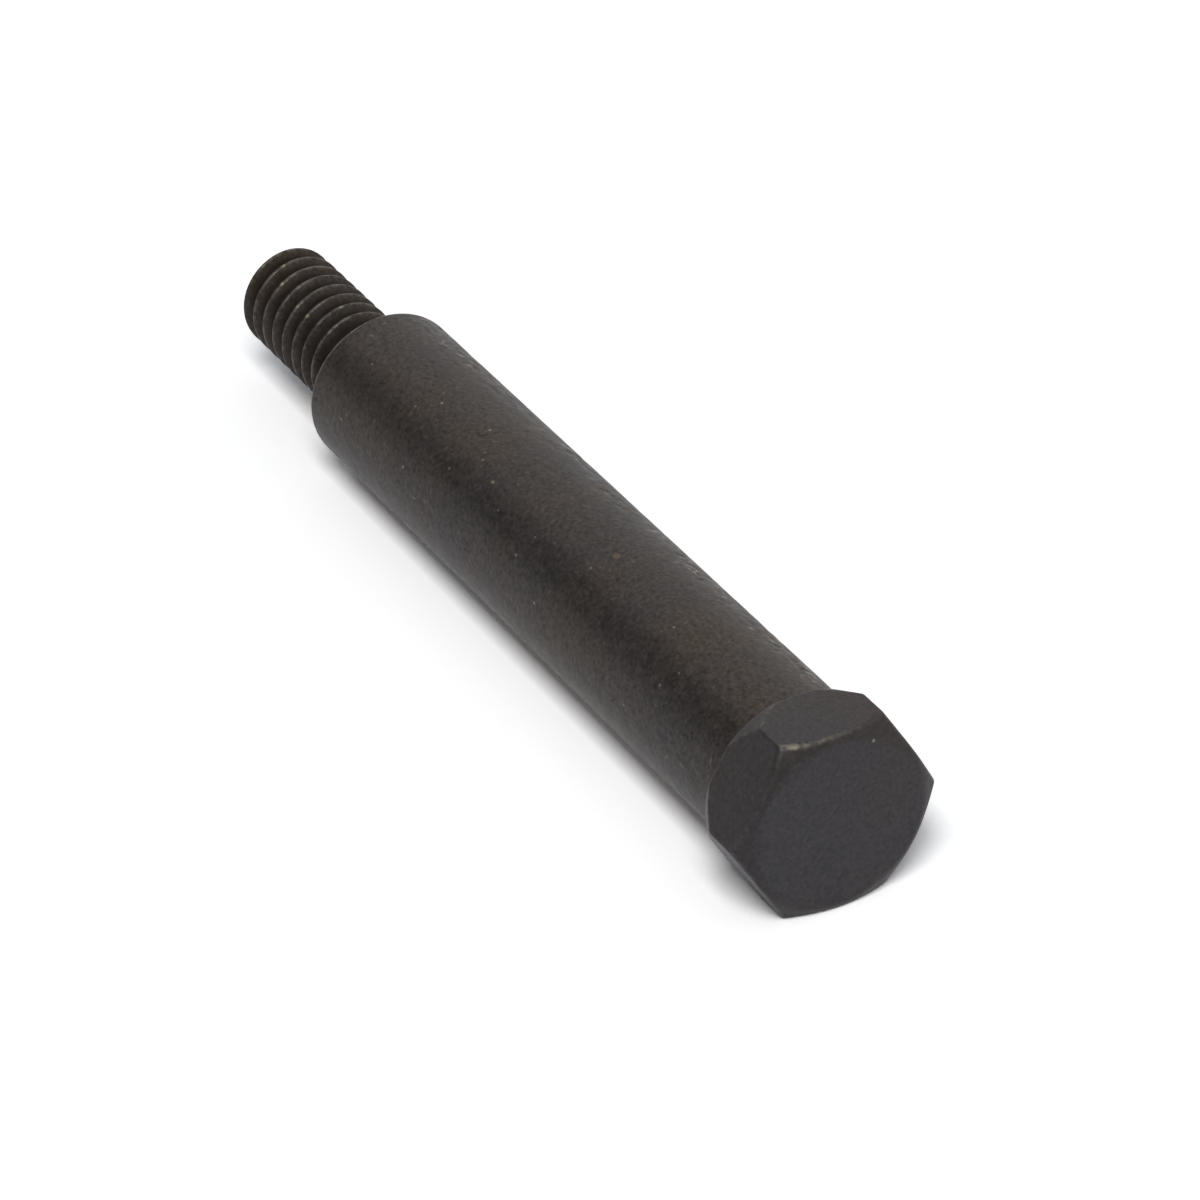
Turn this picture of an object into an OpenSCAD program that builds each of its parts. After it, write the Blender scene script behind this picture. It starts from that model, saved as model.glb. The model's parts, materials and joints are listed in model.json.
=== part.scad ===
// Hex-head shoulder screw in black-oxide steel, lying at rest on one flat of its head.
// Sizes in millimetres. The screw is drawn upright, head down, then laid along X with its thread towards -X.

/* [Head] */
// Width of the hexagon across its flats
head_across_flats = 10.7; // [10.5:0.05:13]
// Height from the end face to the underside
head_height = 4.55; // [4.2:0.05:7]
// How far the edge of the flat end face lies inside the flats
face_margin = 0.35; // [0.05:0.05:0.6]
// Slope of the front chamfer, measured from the end face
front_chamfer_angle = 34; // [20:1:38]
// How far outside the flats the rear chamfer starts, which leaves the middle of each flat's rear edge square
rear_margin = 0.08; // [0.02:0.02:0.3]
// Slope of the rear chamfer, measured from the underside
rear_chamfer_angle = 67; // [45:1:70]

/* [Shoulder] */
// Diameter of the ground shoulder
shoulder_diameter = 9.52; // [8:0.02:9.9]
// Length from the head's underside to the shoulder's end
shoulder_length = 46.9; // [25:0.1:70]
// Broken edge at the shoulder's end
shoulder_edge = 0.2; // [0.1:0.05:0.5]
// Small slope left where the shoulder meets the head
root_fillet = 0.15; // [0.05:0.05:0.15]

/* [Thread] */
// Diameter over the thread's crests
thread_diameter = 6.2; // [5.4:0.05:6.6]
// Distance from one crest to the next
thread_pitch = 1.27; // [1:0.01:1.4]
// Length from the shoulder's end to the tip, with the plain neck
thread_length = 12.7; // [8:0.1:20]
// Plain neck between the shoulder and the first thread
neck_length = 2.1; // [1.5:0.1:3]
// Slope of the run-in from the neck up to the crests, measured from the axis
run_in_angle = 60; // [40:1:70]
// Chamfer on the tip of the thread
tip_chamfer = 0.35; // [0.2:0.05:0.6]

/* [Rest] */
// Gap left between the floor and the edge of the shoulder's end, which the screw closes as it settles
rim_gap = 0.22; // [0:0.01:0.3]

/* [Hidden] */
$fn = 96;

steel_colour = [0.24, 0.23, 0.22];

// How far one turned length runs into the next, so that they join
overlap = 0.5;
// How far the turned blank of the head stands clear of the hexagon's corners
blank_clearance = 0.05;
// How far the neck lies below the roots of the thread
neck_relief = 0.05;

// Head
apothem = head_across_flats / 2;
corner_radius = apothem / cos(30);
face_radius = apothem - face_margin;
rear_radius = apothem + rear_margin;
turned_radius = corner_radius + blank_clearance;
front_cut = (turned_radius - face_radius) * tan(front_chamfer_angle);
rear_cut = (turned_radius - rear_radius) * tan(rear_chamfer_angle);

// Shoulder
shoulder_radius = shoulder_diameter / 2;
root_radius = shoulder_radius + root_fillet;

// Thread: flanks 60 degrees apart, crest flat of an eighth of the pitch
crest_radius = thread_diameter / 2;
thread_depth = thread_pitch * 17 / 24 * cos(30);
core_radius = crest_radius - thread_depth;
neck_radius = core_radius - neck_relief;
run_in = (crest_radius - neck_radius) / tan(run_in_angle);
thread_start = shoulder_length + neck_length;
tip = shoulder_length + thread_length;

// The ridge is cut deeper and taller than the finished thread, then turned down to its crests
ridge_under = 0.1;
ridge_over = 0.07;
ridge_steps = 36;
ridge_low = core_radius - ridge_under;
ridge_high = crest_radius + ridge_over;
ridge_half_low = thread_pitch / 16 + (thread_depth + ridge_under) * tan(30);
ridge_half_high = thread_pitch / 16 - ridge_over * tan(30);
// Turns of the ridge before the thread's start, hidden in the neck, which set where the crests fall
ridge_lead = 0.98;
ridge_first = thread_start - ridge_lead * thread_pitch;
ridge_count = ceil((tip + ridge_half_low - ridge_first) / thread_pitch * ridge_steps);

// Rest: the rear edge of the lowest flat touches the floor, and the edge of the shoulder's end all but does
rim = shoulder_length - shoulder_edge;
tilt = atan((apothem - shoulder_radius - rim_gap) / rim);
axis_height = apothem * cos(tilt);
reach_front = head_height * cos(tilt) + face_radius * sin(tilt);
reach_back = tip * cos(tilt) + (crest_radius - tip_chamfer) * sin(tilt);
middle = (reach_front - reach_back) / 2;

// One cross-section of the ridge, step i along the helix
function ridge_section(i) =
    let (turn = 360 * i / ridge_steps)
    let (z = ridge_first + thread_pitch * i / ridge_steps)
    [
        [ridge_low * cos(turn), ridge_low * sin(turn), z - ridge_half_low],
        [ridge_high * cos(turn), ridge_high * sin(turn), z - ridge_half_high],
        [ridge_high * cos(turn), ridge_high * sin(turn), z + ridge_half_high],
        [ridge_low * cos(turn), ridge_low * sin(turn), z + ridge_half_low]
    ];

// The two triangles that join side k of section i to the next section
function ridge_side(i, k) =
    let (a = 4 * i + k)
    let (b = 4 * i + (k + 1) % 4)
    [[a, b, b + 4], [a, b + 4, a + 4]];

// Six-sided head, chamfered in the lathe at its face and at its underside
module head() {
    intersection() {
        translate([0, 0, -head_height - overlap])
            rotate([0, 0, 30])
                cylinder(r = corner_radius, h = head_height + 2 * overlap, $fn = 6);
        rotate_extrude()
            polygon([
                [0, -head_height],
                [face_radius, -head_height],
                [turned_radius, front_cut - head_height],
                [turned_radius, -rear_cut],
                [rear_radius, 0],
                [0, 0]
            ]);
    }
}

// Shoulder with its broken end edge, and the plain neck beyond it
module shoulder_and_neck() {
    rotate_extrude()
        polygon([
            [0, -overlap],
            [root_radius, -overlap],
            [root_radius, 0],
            [shoulder_radius, root_fillet],
            [shoulder_radius, rim],
            [shoulder_radius - shoulder_edge, shoulder_length],
            [neck_radius, shoulder_length],
            [neck_radius, thread_start + overlap],
            [0, thread_start + overlap]
        ]);
}

// Helical ridge, before it is turned down
module ridge() {
    last = 4 * ridge_count;
    polyhedron(
        points = [for (i = [0 : ridge_count]) each ridge_section(i)],
        faces = concat(
            [[3, 2, 1, 0]],
            [for (i = [0 : ridge_count - 1], k = [0 : 3]) each ridge_side(i, k)],
            [[last, last + 1, last + 2, last + 3]]
        ),
        convexity = 12
    );
}

// Right-hand thread, run out into the neck and chamfered at the tip
module thread() {
    intersection() {
        union() {
            translate([0, 0, thread_start])
                cylinder(r = core_radius, h = thread_length - neck_length);
            ridge();
        }
        rotate_extrude()
            polygon([
                [0, thread_start],
                [neck_radius, thread_start],
                [crest_radius, thread_start + run_in],
                [crest_radius, tip - tip_chamfer],
                [crest_radius - tip_chamfer, tip],
                [0, tip]
            ]);
    }
}

// The whole screw, tipped over onto the floor
module shoulder_screw() {
    color(steel_colour)
        translate([-middle, 0, axis_height])
            rotate([0, -90 - tilt, 0]) {
                head();
                shoulder_and_neck();
                thread();
            }
}

shoulder_screw();
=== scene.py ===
import bisect
import json
import math

import bpy
from mathutils import Matrix, Quaternion, Vector, noise


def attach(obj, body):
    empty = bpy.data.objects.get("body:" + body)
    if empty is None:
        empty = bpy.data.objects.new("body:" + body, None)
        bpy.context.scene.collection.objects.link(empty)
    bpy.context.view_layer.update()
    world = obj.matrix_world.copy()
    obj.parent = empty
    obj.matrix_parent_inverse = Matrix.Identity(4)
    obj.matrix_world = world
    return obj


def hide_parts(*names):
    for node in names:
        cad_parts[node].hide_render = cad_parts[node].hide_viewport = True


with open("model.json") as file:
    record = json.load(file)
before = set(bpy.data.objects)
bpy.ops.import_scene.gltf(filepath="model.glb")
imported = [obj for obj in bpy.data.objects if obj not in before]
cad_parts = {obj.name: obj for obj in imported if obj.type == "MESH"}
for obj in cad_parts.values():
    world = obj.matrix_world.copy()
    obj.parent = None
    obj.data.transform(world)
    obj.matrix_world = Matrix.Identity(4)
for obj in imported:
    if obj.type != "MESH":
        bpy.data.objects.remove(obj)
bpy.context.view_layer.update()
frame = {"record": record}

# Sizes of the screw in millimetres, the same as its solid has
MM = 0.001
APOTHEM = 10.7 / 2
HEAD_HEIGHT = 4.55
FACE_RADIUS = 5.0
FRONT_SLOPE = math.tan(math.radians(34))
REAR_RADIUS = 5.43
REAR_SLOPE = math.tan(math.radians(67))
SHOULDER_RADIUS = 4.76
SHOULDER_LENGTH = 46.9
SHOULDER_EDGE = 0.2
ROOT_FILLET = 0.15
CREST_RADIUS = 3.1
PITCH = 1.27
THREAD_DEPTH = PITCH * 17 / 24 * math.cos(math.radians(30))
CORE_RADIUS = CREST_RADIUS - THREAD_DEPTH
NECK_RADIUS = CORE_RADIUS - 0.05
THREAD_START = 49.0
RUN_IN = (CREST_RADIUS - NECK_RADIUS) / math.tan(math.radians(60))
FIRST_CREST = 47.7554
TIP = 59.6
TIP_CHAMFER = 0.35

# Broken edges, in millimetres
CORNER_ROUND = 0.2
FACE_ROUND = 0.6
FRONT_ROUND = 0.28
EDGE_ROUND = 0.14
FINE_ROUND = 0.06

# The two sides of the shoulder that were scuffed along it: angle from the top, half width and how badly
SCUFFED_SIDES = (
    (math.radians(36), math.radians(17), 1.0),
    (math.radians(-78), math.radians(15), 0.4),
)
# The least roughness of the rest of the shoulder
PLAIN_SIDE = 0.06
# Dents of the scuffing, in millimetres
DENT_DEPTH = 0.15
DENT_WIDTH = 0.5
# Distance between the rings of points along the shoulder, close enough for the dents
RING_STEP = 0.35

# Where the screw lies: its axis, the side that is up, and the middle of the head's underside
shoulder_mount = next(m for m in frame["record"]["mounts"] if m["name"] == "shoulder")
AXIS = Vector(shoulder_mount["axis"]).normalized()
UP = (Vector((0, 0, 1)) - AXIS * AXIS.z).normalized()
SIDE = AXIS.cross(UP)
MIDDLE = (ROOT_FILLET + SHOULDER_LENGTH - SHOULDER_EDGE) / 2
UNDERSIDE = Vector(shoulder_mount["pos_m"]) - AXIS * MIDDLE * MM


def place(turn, radius, along):
    """A point from its angle round the axis, its radius and its distance from the underside."""
    out = UP * math.cos(turn) + SIDE * math.sin(turn)
    return UNDERSIDE + (out * radius + AXIS * along) * MM


def scuffing(turn):
    """How badly the shoulder is scuffed at this angle, up to one."""
    rough = 0.0
    for side, width, badly in SCUFFED_SIDES:
        away = math.remainder(turn - side, 2 * math.pi) / width
        rough = max(rough, badly * math.exp(-away * away))
    return rough


def dent(turn, along):
    """How deep the handling dented the shoulder here, which fades out towards its ends."""
    fade = max(0.0, min(1.0, along - 0.5, SHOULDER_LENGTH - 0.5 - along))
    here = Vector((SHOULDER_RADIUS * math.cos(turn), SHOULDER_RADIUS * math.sin(turn), along))
    return DENT_DEPTH * fade * scuffing(turn) * max(0.0, noise.noise(here / DENT_WIDTH))


# The steel is one skin of rings, from the middle of the head's face to the middle of the tip
COLUMNS = 192
points = []
wear_and_highlight = []
brown_and_shade = []
rough_side = []
cool_head = []
faces = []


def add_point(turn, radius, along, worn=0.0, browned_and_shaded=0.0):
    """Adds a point of the skin, with how worn (partly a painted highlight), how browned (partly painted
    shade), how scuffed and how cool in colour it is.
    """
    points.append(place(turn, radius, along))
    wear_and_highlight.append(worn)
    brown_and_shade.append(browned_and_shaded)
    on_shoulder = 0.5 < along < SHOULDER_LENGTH and radius > SHOULDER_RADIUS - 0.3
    rough_side.append(max(scuffing(turn), PLAIN_SIDE) if on_shoulder else 0.0)
    cool_head.append(0.5 if along < 0.03 - HEAD_HEIGHT else 0.45 if along < -0.05 else 0.0)
    return len(points) - 1


def join_rings(first, second):
    """A band of faces from one ring of points to the next."""
    for j in range(COLUMNS):
        k = (j + 1) % COLUMNS
        faces.append((first[j], first[k], second[k], second[j]))


def rounded(corners, steps=5):
    """The outline through these corners, each (radius, along, round, worn), with its corners rounded.

    The plain stretch beside each round keeps a point close to it, so that light turns only there.
    """
    outline = [(corners[0][0], corners[0][1], 0.0)]
    for before, corner, after in zip(corners, corners[1:], corners[2:]):
        here = Vector(corner[:2])
        legs = [Vector(before[:2]) - here, Vector(after[:2]) - here]
        cut = min(corner[2], 0.4 * legs[0].length, 0.4 * legs[1].length)
        guard = [min(cut + 0.05, 0.46 * leg.length) for leg in legs]
        start, end = (here + leg.normalized() * cut for leg in legs)
        outline.append((*(here + legs[0].normalized() * guard[0]), 0.0))
        for i in range(steps):
            t = i / (steps - 1)
            bend = start * (1 - t) ** 2 + here * 2 * t * (1 - t) + end * t * t
            outline.append((*bend, corner[3] * (0.25 + 3 * t * (1 - t))))
        outline.append((*(here + legs[1].normalized() * guard[1]), 0.0))
    outline.append((corners[-1][0], corners[-1][1], 0.0))
    return outline


def hexagon_columns():
    """Angle and radius of each column round the head, with the six corners slightly rounded."""
    straight = (APOTHEM - CORNER_ROUND) * math.tan(math.pi / 6)
    inner = [straight - 0.06 - (straight - 0.06) * i / 12 for i in range(25)]
    across = [straight, *inner, -straight][::-1]
    columns = []
    for flat in range(6):
        turn = flat * math.pi / 3
        for y in across:
            columns.append((turn + math.atan2(y, APOTHEM), math.hypot(APOTHEM, y)))
        for i in range(1, 6):
            bend = math.pi / 3 * i / 6
            x = APOTHEM - CORNER_ROUND + CORNER_ROUND * math.cos(bend)
            y = straight + CORNER_ROUND * math.sin(bend)
            columns.append((turn + math.atan2(y, x), math.hypot(x, y)))
    return columns


def head_outline(turn, corner):
    """The head's outline at this angle and hexagon radius, from the end face to the underside.

    The front edge of the top flat is rubbed bright, most of all at its end towards -Y, where the
    brightness is partly a painted highlight.
    """
    across = math.remainder(turn, 2 * math.pi) / math.radians(30)
    # Brighter towards -Y: partly rubbed bare metal, partly a painted highlight
    rub_and_highlight = max(0.05, 0.55 - 0.38 * (across + 1)) if abs(across) < 0.98 else 0.05
    front = (corner - FACE_RADIUS) * FRONT_SLOPE - HEAD_HEIGHT
    rear = -max((corner - REAR_RADIUS) * REAR_SLOPE, 0.09)
    under = min(REAR_RADIUS, corner - 0.06)
    return rounded([
        (3.6, -HEAD_HEIGHT),
        (FACE_RADIUS, -HEAD_HEIGHT, FACE_ROUND, 0),
        (corner, front, FRONT_ROUND, rub_and_highlight),
        (corner, rear, EDGE_ROUND, 0.2),
        (under, 0, FINE_ROUND, 0),
        (SHOULDER_RADIUS + ROOT_FILLET, 0),
    ])


# Head: its bare turned face first, then one ring for each point of the outline; the third to the
# tenth, on the front chamfer, are browned and darkened, partly with painted shade
columns = hexagon_columns()
outlines = [head_outline(turn, radius) for turn, radius in columns]
middle = add_point(0, 0, -HEAD_HEIGHT)
rings = [[add_point(turn, r, -HEAD_HEIGHT) for turn, _ in columns] for r in (0.4, 1.2, 2.4)]
for i, row in enumerate(zip(*outlines)):
    # The chamfer's darkening is partly brown oxide, partly painted shade
    chamfer_brown_and_shade = 0.2 * max(0.0, min(1.0, (i - 2) / 4, (11 - i) / 2))
    rings.append([add_point(turn, *stop, chamfer_brown_and_shade) for (turn, _), stop in zip(columns, row)])
for j in range(COLUMNS):
    faces.append((middle, rings[0][(j + 1) % COLUMNS], rings[0][j]))

# Shoulder: ground cylinder with a broken far edge, its end face and the plain neck
shoulder_outline = rounded([
    (SHOULDER_RADIUS + ROOT_FILLET, 0),
    (SHOULDER_RADIUS, ROOT_FILLET, FINE_ROUND, 0.0),
    (SHOULDER_RADIUS, SHOULDER_LENGTH - SHOULDER_EDGE, EDGE_ROUND, 0.5),
    (SHOULDER_RADIUS - SHOULDER_EDGE, SHOULDER_LENGTH, EDGE_ROUND, 0.4),
    (NECK_RADIUS, SHOULDER_LENGTH, 0.3, 0.0),
    (NECK_RADIUS, THREAD_START),
])[1:]
round_turns = [columns[0][0] + 2 * math.pi * j / COLUMNS for j in range(COLUMNS)]
last = shoulder_outline[0]
for stop in shoulder_outline:
    parts = max(1, round(abs(stop[1] - last[1]) / RING_STEP))
    for i in range(1, parts + 1):
        radius, along, worn = (a + (b - a) * i / parts for a, b in zip(last, stop))
        # The neck takes the full darkening of the thread's roots: partly brown oxide, partly painted
        # shade
        deep = 1.0 if radius < CORE_RADIUS + 0.3 else 0.0
        rings.append([
            add_point(turn, radius - dent(turn, along), along, worn, deep) for turn in round_turns
        ])
    last = stop

# Thread: one turn of the outline, from the middle of a flank to the middle of the next one like it
FLANK = THREAD_DEPTH * math.tan(math.radians(30))
CREST_HALF = PITCH / 16
ROOT_HALF = PITCH / 2 - CREST_HALF - FLANK
MID_RADIUS = (CREST_RADIUS + CORE_RADIUS) / 2
thread_outline = rounded([
    (MID_RADIUS, -CREST_HALF - FLANK / 2),
    (CREST_RADIUS, -CREST_HALF, 0.06, 0),
    (CREST_RADIUS, CREST_HALF, 0.06, 0),
    (CORE_RADIUS, PITCH / 2 - ROOT_HALF, 0.08, 0),
    (CORE_RADIUS, PITCH / 2 + ROOT_HALF, 0.08, 0),
    (MID_RADIUS, PITCH - CREST_HALF - FLANK / 2),
])
outline_along = [stop[1] for stop in thread_outline]


def thread_radius(turn, along):
    """The thread's radius here, inside the cone of its run-in and the chamfer on its tip."""
    low = outline_along[0]
    step = (along - FIRST_CREST - PITCH * turn / (2 * math.pi) - low) % PITCH + low
    i = min(max(bisect.bisect(outline_along, step), 1), len(outline_along) - 1)
    a, b = thread_outline[i - 1], thread_outline[i]
    radius = a[0] + (b[0] - a[0]) * (step - a[1]) / (b[1] - a[1])
    run_in = NECK_RADIUS + (along - THREAD_START) * math.tan(math.radians(60))
    chamfer = CREST_RADIUS - TIP_CHAMFER + TIP - along
    return min(radius, run_in, chamfer)


# The thread browns and darkens towards its roots: partly brown oxide, partly painted shade
def thread_point(turn, along):
    radius = thread_radius(turn, along)
    deep = (CREST_RADIUS - radius) / THREAD_DEPTH
    return add_point(turn, radius, along, max(0.0, 0.22 - 1.6 * deep), deep)


neck_ring = rings[-1]
tip_ring = [thread_point(turn, TIP) for turn in round_turns]
PER_TURN = len(thread_outline) - 1
TURNS = math.ceil((TIP - FIRST_CREST) / PITCH) + 2
EDGES = (THREAD_START + RUN_IN, TIP - TIP_CHAMFER)
helix = []
for j, turn in enumerate(round_turns):
    rows = []
    for t in range(-1, TURNS):
        start = FIRST_CREST + PITCH * (t + turn / (2 * math.pi))
        rows += [start + along for along in outline_along[:-1]]
    # The row nearest to the chamfer's edge moves onto it, which keeps that edge a clean circle
    for edge in EDGES:
        nearest = min(range(len(rows)), key=lambda m: abs(rows[m] - edge))
        rows[nearest] = edge
    helix.append([
        neck_ring[j] if along <= THREAD_START
        else tip_ring[j] if along >= TIP
        else thread_point(turn, along)
        for along in rows
    ])

for strip in zip(rings, rings[1:]):
    join_rings(*strip)
for j in range(COLUMNS):
    here = helix[j]
    there = helix[j + 1] if j + 1 < COLUMNS else helix[0][PER_TURN:] + [tip_ring[0]] * PER_TURN
    for m in range(len(here) - 1):
        for face in ((here[m], there[m], here[m + 1]), (there[m], there[m + 1], here[m + 1])):
            if len(set(face)) == 3:
                faces.append(face)

# Tip: a flat turned end, given part of the thread's browning and painted shade
inner_tips = [tip_ring]
for share in (0.97, 0.7, 0.35):
    inner_tips.append([
        add_point(turn, share * thread_radius(turn, TIP), TIP, 0.0, 0.4) for turn in round_turns
    ])
for strip in zip(inner_tips, inner_tips[1:]):
    join_rings(*strip)
tip_middle = add_point(0, 0, TIP, 0.0, 0.4)
for j in range(COLUMNS):
    faces.append((inner_tips[-1][j], inner_tips[-1][(j + 1) % COLUMNS], tip_middle))

mesh = bpy.data.meshes.new("shoulder_screw_steel")
mesh.from_pydata(points, [], faces)
SHADES = {"wear_and_highlight": wear_and_highlight, "brown_and_shade": brown_and_shade, "rough_side": rough_side, "cool_head": cool_head}
for name, values in SHADES.items():
    mesh.attributes.new(name, "FLOAT", "POINT").data.foreach_set("value", values)
mesh.polygons.foreach_set("use_smooth", [True] * len(mesh.polygons))
mesh.update()
screw = bpy.data.objects.new("screw_steel", mesh)
bpy.context.scene.collection.objects.link(screw)


def linear(colour):
    """A colour written as sRGB hex, as the linear values that the shaders take."""
    parts = [int(colour[i:i + 2], 16) / 255 for i in (1, 3, 5)]
    return (*[p / 12.92 if p <= 0.04045 else ((p + 0.055) / 1.055) ** 2.4 for p in parts], 1)


def per_metre(size_mm):
    """How many features of this size fit in a metre, which is a texture's scale."""
    return 1 / (size_mm * MM)


def add(tree, kind, inputs=(), **settings):
    """Adds a node with its settings; an input is set, or linked when it is another node's output."""
    node = tree.nodes.new(kind)
    for name, value in settings.items():
        setattr(node, name, value)
    for name, value in dict(inputs).items():
        if isinstance(value, bpy.types.NodeSocket):
            tree.links.new(value, node.inputs[name])
        else:
            node.inputs[name].default_value = value
    return node


def blank_material(name):
    material = bpy.data.materials.new(name)
    material.use_nodes = True
    material.node_tree.nodes.clear()
    return material, material.node_tree


# Bare chips: distance from the underside in mm, angle from the top in degrees, half length, half width
# and, off the shoulder, radius in mm; the last ones are on the head's front and on the thread's crests,
# the crest ones partly painted glints
CHIPS_AND_CREST_GLINTS = (
    (12.45, 38.3, 0.22, 0.20),
    (8.00, 25.4, 0.20, 0.17),
    (30.21, 38.1, 0.22, 0.20),
    (23.80, 25.8, 0.19, 0.16),
    (36.58, -16.3, 0.14, 0.11),
    (32.35, -6.5, 0.12, 0.12),
    (35.70, -67.5, 0.14, 0.14),
    (28.39, -31.5, 0.18, 0.13),
    (30.37, -25.5, 0.09, 0.09),
    (23.11, -56.0, 0.14, 0.10),
    (17.69, -28.0, 0.10, 0.10),
    (31.95, -45.0, 0.11, 0.11),
    (37.75, -30.7, 0.10, 0.10),
    (6.97, -37.7, 0.10, 0.10),
    (9.92, -18.6, 0.09, 0.09),
    (22.65, -38.5, 0.09, 0.09),
    (26.45, -42.6, 0.09, 0.09),
    (43.15, -30.2, 0.09, 0.09),
    (7.57, -51.6, 0.15, 0.12),
    (20.06, -72.3, 0.12, 0.12),
    (33.90, -80.0, 0.22, 0.05),
    (43.06, -75.0, 0.22, 0.05),
    (9.92, -81.6, 0.22, 0.05),
    (-4.50, 24.2, 0.15, 0.13, 4.86),
    # On the thread's crests: bare metal, partly painted glints where the lamp's highlights fall
    (57.86, -15.5, 0.16, 0.20, 3.1),
    (56.53, -31.6, 0.16, 0.20, 3.1),
    (53.97, -37.6, 0.16, 0.20, 3.1),
    (52.70, -37.9, 0.16, 0.20, 3.1),
    (51.55, -4.2, 0.16, 0.20, 3.1),
)
RUST_SPOT = (17.33, -10.0, 0.34, 0.26)


def lie(turn):
    """The turned axes at this angle: the first runs along the screw and the second round it."""
    out = UP * math.cos(turn) + SIDE * math.sin(turn)
    return Matrix((AXIS, out.cross(AXIS), out)).transposed().to_euler()


def mark(tree, where, along, degrees, half_length, half_width, radius=SHOULDER_RADIUS):
    """A small mark on the steel: one in its middle, fading to nothing at its edge."""
    turn = math.radians(degrees)
    local = add(tree, "ShaderNodeMapping", {
        "Vector": where,
        "Location": place(turn, radius, along),
        "Rotation": lie(turn),
        "Scale": (half_length * MM, half_width * MM, half_width * MM),
    }, vector_type="TEXTURE")
    ball = add(tree, "ShaderNodeTexGradient", {"Vector": local.outputs[0]}, gradient_type="SPHERICAL")
    return ball.outputs["Fac"]


# Black-oxide steel: a machined screw turned black in a hot bath, then oiled and handled.
# The eye sees a warm near-black with a satin sheen and a fine grain, browner in the thread and along the
# scuffed side, and bare metal where edges rub. The thread's darkening towards its roots is partly painted
# shade, and the top flat's front edge and the chips on the thread's crests are partly painted highlights.
steel, tree = blank_material("black_oxide_steel_machined")
where = add(tree, "ShaderNodeTexCoord").outputs["Object"]
worn_and_highlit_edge = add(tree, "ShaderNodeAttribute", attribute_name="wear_and_highlight").outputs["Fac"]
thread_shade = add(tree, "ShaderNodeAttribute", attribute_name="brown_and_shade").outputs["Fac"]
side_shade = add(tree, "ShaderNodeAttribute", attribute_name="rough_side").outputs["Fac"]
head_shade = add(tree, "ShaderNodeAttribute", attribute_name="cool_head").outputs["Fac"]
# Clouds of the bath about 6 mm wide, warm and cool
clouds = add(tree, "ShaderNodeTexNoise", {"Vector": where, "Scale": per_metre(6), "Detail": 3})
# Mottling just under a millimetre wide
mottling = add(tree, "ShaderNodeTexNoise", {
    "Vector": where,
    "Scale": per_metre(0.8),
    "Detail": 5,
    "Roughness": 0.7,
})
# Grains of the oxide are a few hundredths of a millimetre; drawn 0.25 mm wide so that they show
grain = add(tree, "ShaderNodeTexNoise", {
    "Vector": where,
    "Scale": per_metre(0.25),
    "Detail": 4,
    "Roughness": 0.62,
})
oxide = add(tree, "ShaderNodeMix", {
    0: add(tree, "ShaderNodeMapRange", {0: clouds.outputs[0], 1: 0.38, 2: 0.62}).outputs[0],
    6: linear("#3f3b3a"),
    7: linear("#453d36"),
}, data_type="RGBA")
mottled = add(tree, "ShaderNodeMix", {
    0: add(tree, "ShaderNodeMapRange", {0: mottling.outputs[0], 1: 0.35, 2: 0.7, 4: 0.6}).outputs[0],
    6: oxide.outputs[2],
    7: linear("#514b47"),
}, data_type="RGBA")
grained = add(tree, "ShaderNodeVectorMath", {
    0: mottled.outputs[2],
    "Scale": add(tree, "ShaderNodeMapRange", {
        0: grain.outputs[0], 1: 0.3, 2: 0.7, 3: 0.62, 4: 1.38,
    }).outputs[0],
}, operation="SCALE")
# The head is cooler and smoother than the shoulder, its end face most of all
cooled = add(tree, "ShaderNodeMix", {
    0: head_shade,
    6: grained.outputs[0],
    7: linear("#444347"),
}, data_type="RGBA")
# Brown and dark towards the thread's roots, in the neck, on the tip and on the front chamfer: partly
# brown oxide, partly painted shade
brown_and_painted_shade = add(tree, "ShaderNodeMix", {
    0: add(tree, "ShaderNodeMapRange", {0: thread_shade, 1: 0.0, 2: 0.6, 3: 0.0, 4: 0.9}).outputs[0],
    6: cooled.outputs[2],
    7: linear("#302a25"),
}, data_type="RGBA")
# The scuffing comes and goes along the shoulder every few millimetres, in patches about 0.4 mm wide
waves = add(tree, "ShaderNodeTexNoise", {"Vector": where, "Scale": per_metre(3.5), "Detail": 2})
scuffed_side = add(tree, "ShaderNodeMath", {
    0: side_shade,
    1: add(tree, "ShaderNodeMapRange", {0: waves.outputs[0], 1: 0.36, 2: 0.62, 3: 0.35}).outputs[0],
}, operation="MULTIPLY").outputs[0]
badly_scuffed = add(tree, "ShaderNodeMapRange", {0: scuffed_side, 1: 0.36, 2: 0.75}).outputs[0]
scuffs = add(tree, "ShaderNodeTexNoise", {
    "Vector": where,
    "Scale": per_metre(0.4),
    "Detail": 4,
    "Roughness": 0.7,
})
scuffed = add(tree, "ShaderNodeMath", {
    0: badly_scuffed,
    1: add(tree, "ShaderNodeMapRange", {0: scuffs.outputs[0], 1: 0.42, 2: 0.58, 4: 0.5}).outputs[0],
}, operation="MULTIPLY")
scuffed_brown = add(tree, "ShaderNodeMix", {
    0: scuffed.outputs[0],
    6: brown_and_painted_shade.outputs[2],
    7: linear("#5f5043"),
}, data_type="RGBA")
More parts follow.
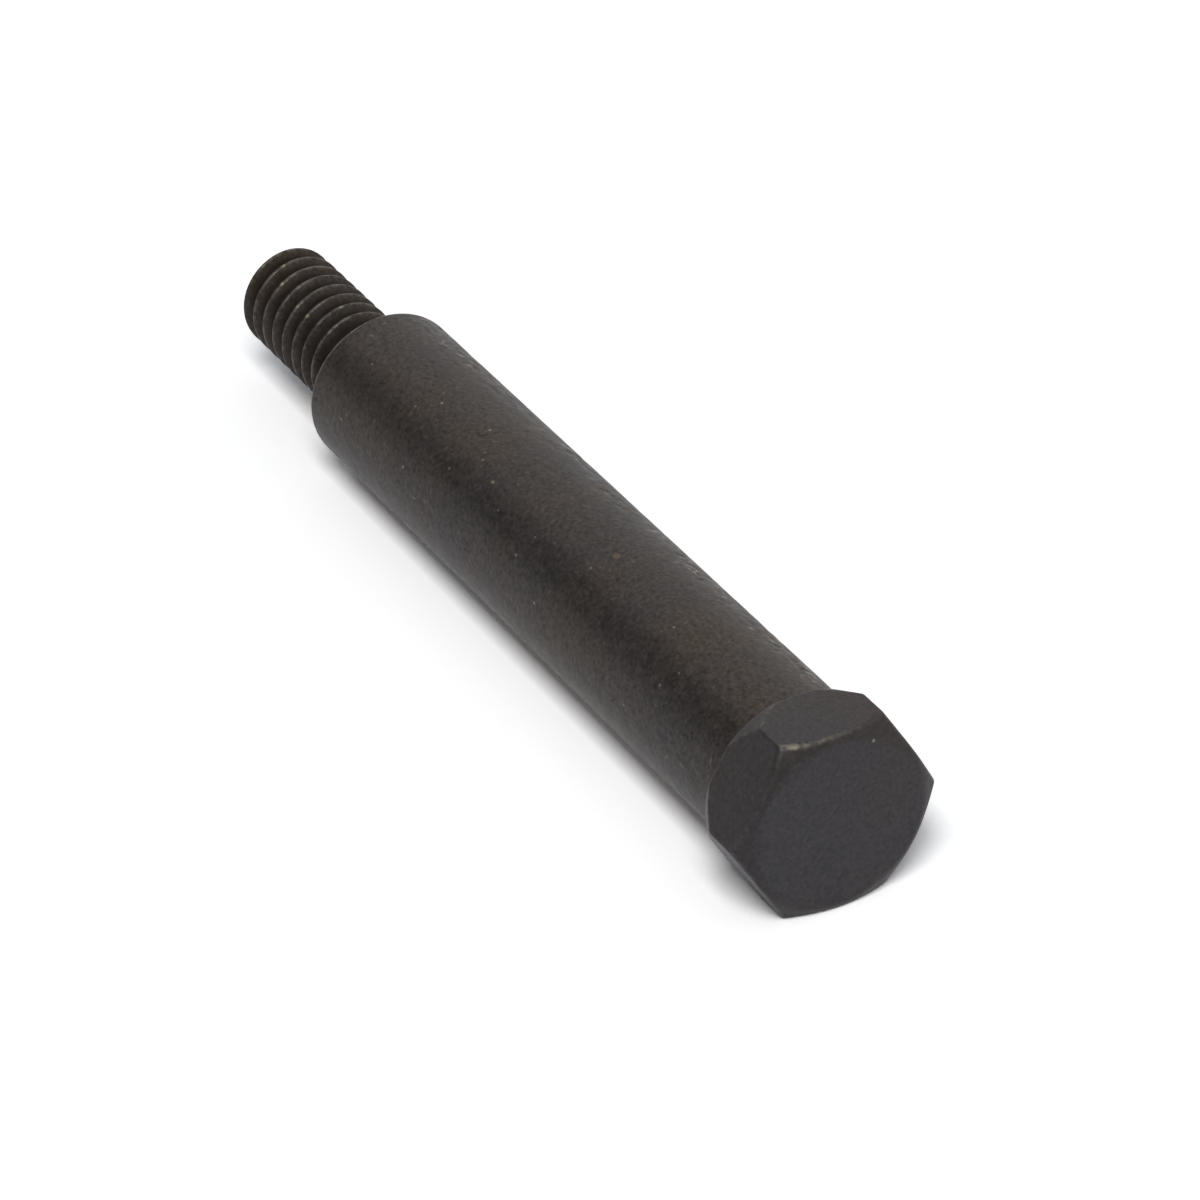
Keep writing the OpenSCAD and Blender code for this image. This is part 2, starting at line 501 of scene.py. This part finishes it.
# Nicks of the handling, about 0.2 mm wide and longer round the shoulder: dark where the metal is dented,
# bare where it is raised
across_side = add(tree, "ShaderNodeMapping", {
    "Vector": where,
    "Rotation": lie(SCUFFED_SIDES[0][0]),
    "Scale": (1, 1.7, 1),
}, vector_type="TEXTURE")
nicks = add(tree, "ShaderNodeTexNoise", {
    "Vector": across_side.outputs[0],
    "Scale": per_metre(0.36),
    "Detail": 4,
    "Roughness": 0.6,
})
dents = add(tree, "ShaderNodeMath", {
    0: badly_scuffed,
    1: add(tree, "ShaderNodeMapRange", {0: nicks.outputs[0], 1: 0.44, 2: 0.34}).outputs[0],
}, operation="MULTIPLY")
burrs = add(tree, "ShaderNodeMath", {
    0: badly_scuffed,
    1: add(tree, "ShaderNodeMapRange", {0: nicks.outputs[0], 1: 0.57, 2: 0.68, 4: 0.55}).outputs[0],
}, operation="MULTIPLY")
# Flecks of the same size lie all over the shoulder, far apart, dark ones and light ones
shoulder_only = add(tree, "ShaderNodeMapRange", {0: scuffed_side, 1: 0.0, 2: 0.02}).outputs[0]
flecks = add(tree, "ShaderNodeTexNoise", {"Vector": where, "Scale": per_metre(0.5), "Detail": 2})
dark_flecks = add(tree, "ShaderNodeMath", {
    0: shoulder_only,
    1: add(tree, "ShaderNodeMapRange", {0: flecks.outputs[0], 1: 0.36, 2: 0.26, 4: 0.45}).outputs[0],
}, operation="MULTIPLY")
light_flecks = add(tree, "ShaderNodeMath", {
    0: shoulder_only,
    1: add(tree, "ShaderNodeMapRange", {0: flecks.outputs[0], 1: 0.68, 2: 0.8, 4: 0.2}).outputs[0],
}, operation="MULTIPLY")
dark_marks = add(tree, "ShaderNodeMath", {
    0: dents.outputs[0],
    1: dark_flecks.outputs[0],
}, operation="MAXIMUM")
dented = add(tree, "ShaderNodeMix", {
    0: dark_marks.outputs[0],
    6: scuffed_brown.outputs[2],
    7: linear("#272321"),
}, data_type="RGBA")
raised = add(tree, "ShaderNodeMix", {
    0: burrs.outputs[0],
    6: dented.outputs[2],
    7: linear("#a8a29b"),
}, data_type="RGBA")
rusted = add(tree, "ShaderNodeMix", {
    0: add(tree, "ShaderNodeMapRange", {
        0: mark(tree, where, *RUST_SPOT), 1: 0.0, 2: 0.4, 4: 0.8,
    }).outputs[0],
    6: raised.outputs[2],
    7: linear("#615647"),
}, data_type="RGBA")
# Edges are rubbed in patches about half a millimetre long, the top flat's front edge partly a painted
# highlight;
# chips are bare all over, and those on the thread's crests are partly painted glints
rubbing = add(tree, "ShaderNodeTexNoise", {"Vector": where, "Scale": per_metre(0.5), "Detail": 2})
bare_and_glints = add(tree, "ShaderNodeMath", {
    0: worn_and_highlit_edge,
    1: add(tree, "ShaderNodeMapRange", {0: rubbing.outputs[0], 1: 0.42, 2: 0.6}).outputs[0],
}, operation="MULTIPLY").outputs[0]
bare_and_glints = add(tree, "ShaderNodeMath", {0: bare_and_glints, 1: light_flecks.outputs[0]}, operation="MAXIMUM").outputs[0]
for chip in CHIPS_AND_CREST_GLINTS:
    fleck = mark(tree, where, *chip)
    bare_and_glints = add(tree, "ShaderNodeMath", {0: bare_and_glints, 1: fleck}, operation="MAXIMUM").outputs[0]
worn = add(tree, "ShaderNodeMix", {
    0: bare_and_glints,
    6: rusted.outputs[2],
    7: linear("#918a7a"),
}, data_type="RGBA")
satin = add(tree, "ShaderNodeMapRange", {0: mottling.outputs[0], 1: 0.3, 2: 0.7, 3: 0.4, 4: 0.55})
tooth = add(tree, "ShaderNodeBump", {"Height": grain.outputs[0], "Strength": 0.5, "Distance": 0.011 * MM})
pitted = add(tree, "ShaderNodeBump", {
    "Height": nicks.outputs[0],
    "Strength": scuffed_side,
    "Distance": 0.11 * MM,
    "Normal": tooth.outputs[0],
})
skin = add(tree, "ShaderNodeBsdfPrincipled", {
    "Base Color": worn.outputs[2],
    "Metallic": 1.0,
    "Roughness": satin.outputs[0],
    "Normal": pitted.outputs[0],
})
add(tree, "ShaderNodeOutputMaterial", {"Surface": skin.outputs[0]})
mesh.materials.append(steel)

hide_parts("shoulder_screw")
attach(screw, "root")

# Floor: smooth matt white card, which keeps the screw's shadow; the camera and reflections see it exposed
# to about plain white
CARD_IN_REFLECTIONS = (1.22, 1.25, 1.29, 1)
CARD_TO_CAMERA = (1.51, 1.51, 1.51, 1)
card, tree = blank_material("white_card_matt")
path = add(tree, "ShaderNodeLightPath")
mirrored = add(tree, "ShaderNodeMath", {
    0: path.outputs["Is Glossy Ray"],
    1: path.outputs["Is Transmission Ray"],
}, operation="MAXIMUM")
in_reflections = add(tree, "ShaderNodeMix", {
    0: mirrored.outputs[0],
    6: linear("#f2f3f5"),
    7: CARD_IN_REFLECTIONS,
}, data_type="RGBA")
to_camera = add(tree, "ShaderNodeMix", {
    0: path.outputs["Is Camera Ray"],
    6: in_reflections.outputs[2],
    7: CARD_TO_CAMERA,
}, data_type="RGBA")
matt = add(tree, "ShaderNodeBsdfDiffuse", {"Color": to_camera.outputs[2]})
add(tree, "ShaderNodeOutputMaterial", {"Surface": matt.outputs[0]})
floor_mesh = bpy.data.meshes.new("white_card")
floor_mesh.from_pydata([(-4, -4, 0), (4, -4, 0), (4, 4, 0), (-4, 4, 0)], [], [(0, 1, 2, 3)])
floor_mesh.materials.append(card)
floor = bpy.data.objects.new("floor_card", floor_mesh)
bpy.context.scene.collection.objects.link(floor)

# The studio's unlit sides: grey flags to the left and behind the camera, which the camera doesn't see and
# which throw no shadow
FLAGS = (
    ("left_flag", "#e0dddb", [
        (-4, -1.2, 0.24), (4, -1.2, 0.24), (4, -1.2, 2.2), (-4, -1.2, 2.2),
    ]),
    ("camera_flag", "#5f5b59", [
        (0.4, -1.2, 0.24), (1.2, 0.2, 0.24), (1.2, 0.2, 1.4), (0.4, -1.2, 1.4),
    ]),
)
for name, colour, corners in FLAGS:
    paint, tree = blank_material(name + "_cloth_matt")
    cloth = add(tree, "ShaderNodeBsdfDiffuse", {"Color": linear(colour)})
    add(tree, "ShaderNodeOutputMaterial", {"Surface": cloth.outputs[0]})
    flag_mesh = bpy.data.meshes.new(name)
    flag_mesh.from_pydata(corners, [], [(0, 1, 2, 3)])
    flag_mesh.materials.append(paint)
    flag = bpy.data.objects.new(name, flag_mesh)
    flag.visible_camera = False
    flag.visible_shadow = False
    bpy.context.scene.collection.objects.link(flag)

# Light: an even white room, plain white where it is seen, and one soft box overhead to the front left
ROOM_FILL = (0.3, 0.31, 0.325, 1)
ROOM_SEEN = (1, 1, 1, 1)
room = bpy.data.worlds.new("white_room")
room.use_nodes = True
tree = room.node_tree
tree.nodes.clear()
path = add(tree, "ShaderNodeLightPath")
direct = add(tree, "ShaderNodeMath", {
    0: path.outputs["Is Camera Ray"],
    1: path.outputs["Is Glossy Ray"],
}, operation="MAXIMUM")
seen = add(tree, "ShaderNodeMath", {
    0: direct.outputs[0],
    1: path.outputs["Is Transmission Ray"],
}, operation="MAXIMUM")
level = add(tree, "ShaderNodeMix", {
    0: seen.outputs[0],
    6: ROOM_FILL,
    7: ROOM_SEEN,
}, data_type="RGBA")
air = add(tree, "ShaderNodeBackground", {"Color": level.outputs[2]})
add(tree, "ShaderNodeOutputWorld", {"Surface": air.outputs[0]})
bpy.context.scene.world = room

lamp_data = bpy.data.lights.new("overhead_softbox", "AREA")
lamp_data.shape = "RECTANGLE"
lamp_data.size = 0.6
lamp_data.size_y = 0.4
lamp_data.energy = 10.6
lamp = bpy.data.objects.new("overhead_softbox", lamp_data)
lamp.location = (0.62, -0.4, 1.0)
bpy.context.scene.collection.objects.link(lamp)

# Camera at the photograph's viewing angle
lens = bpy.data.cameras.new("camera")
lens.sensor_width = 36
lens.lens = 175.61
lens.clip_start = 0.01
lens.clip_end = 10
camera = bpy.data.objects.new("camera", lens)
camera.location = (0.2422066, -0.1248720, 0.1796903)
camera.rotation_mode = "QUATERNION"
look = Vector((-0.738924, 0.391451, -0.548413))
camera.rotation_quaternion = look.to_track_quat("-Z", "Y") @ Quaternion((0, 0, 1), math.radians(-1.829))
bpy.context.scene.collection.objects.link(camera)
bpy.context.scene.camera = camera
bpy.context.scene.view_settings.view_transform = "Standard"
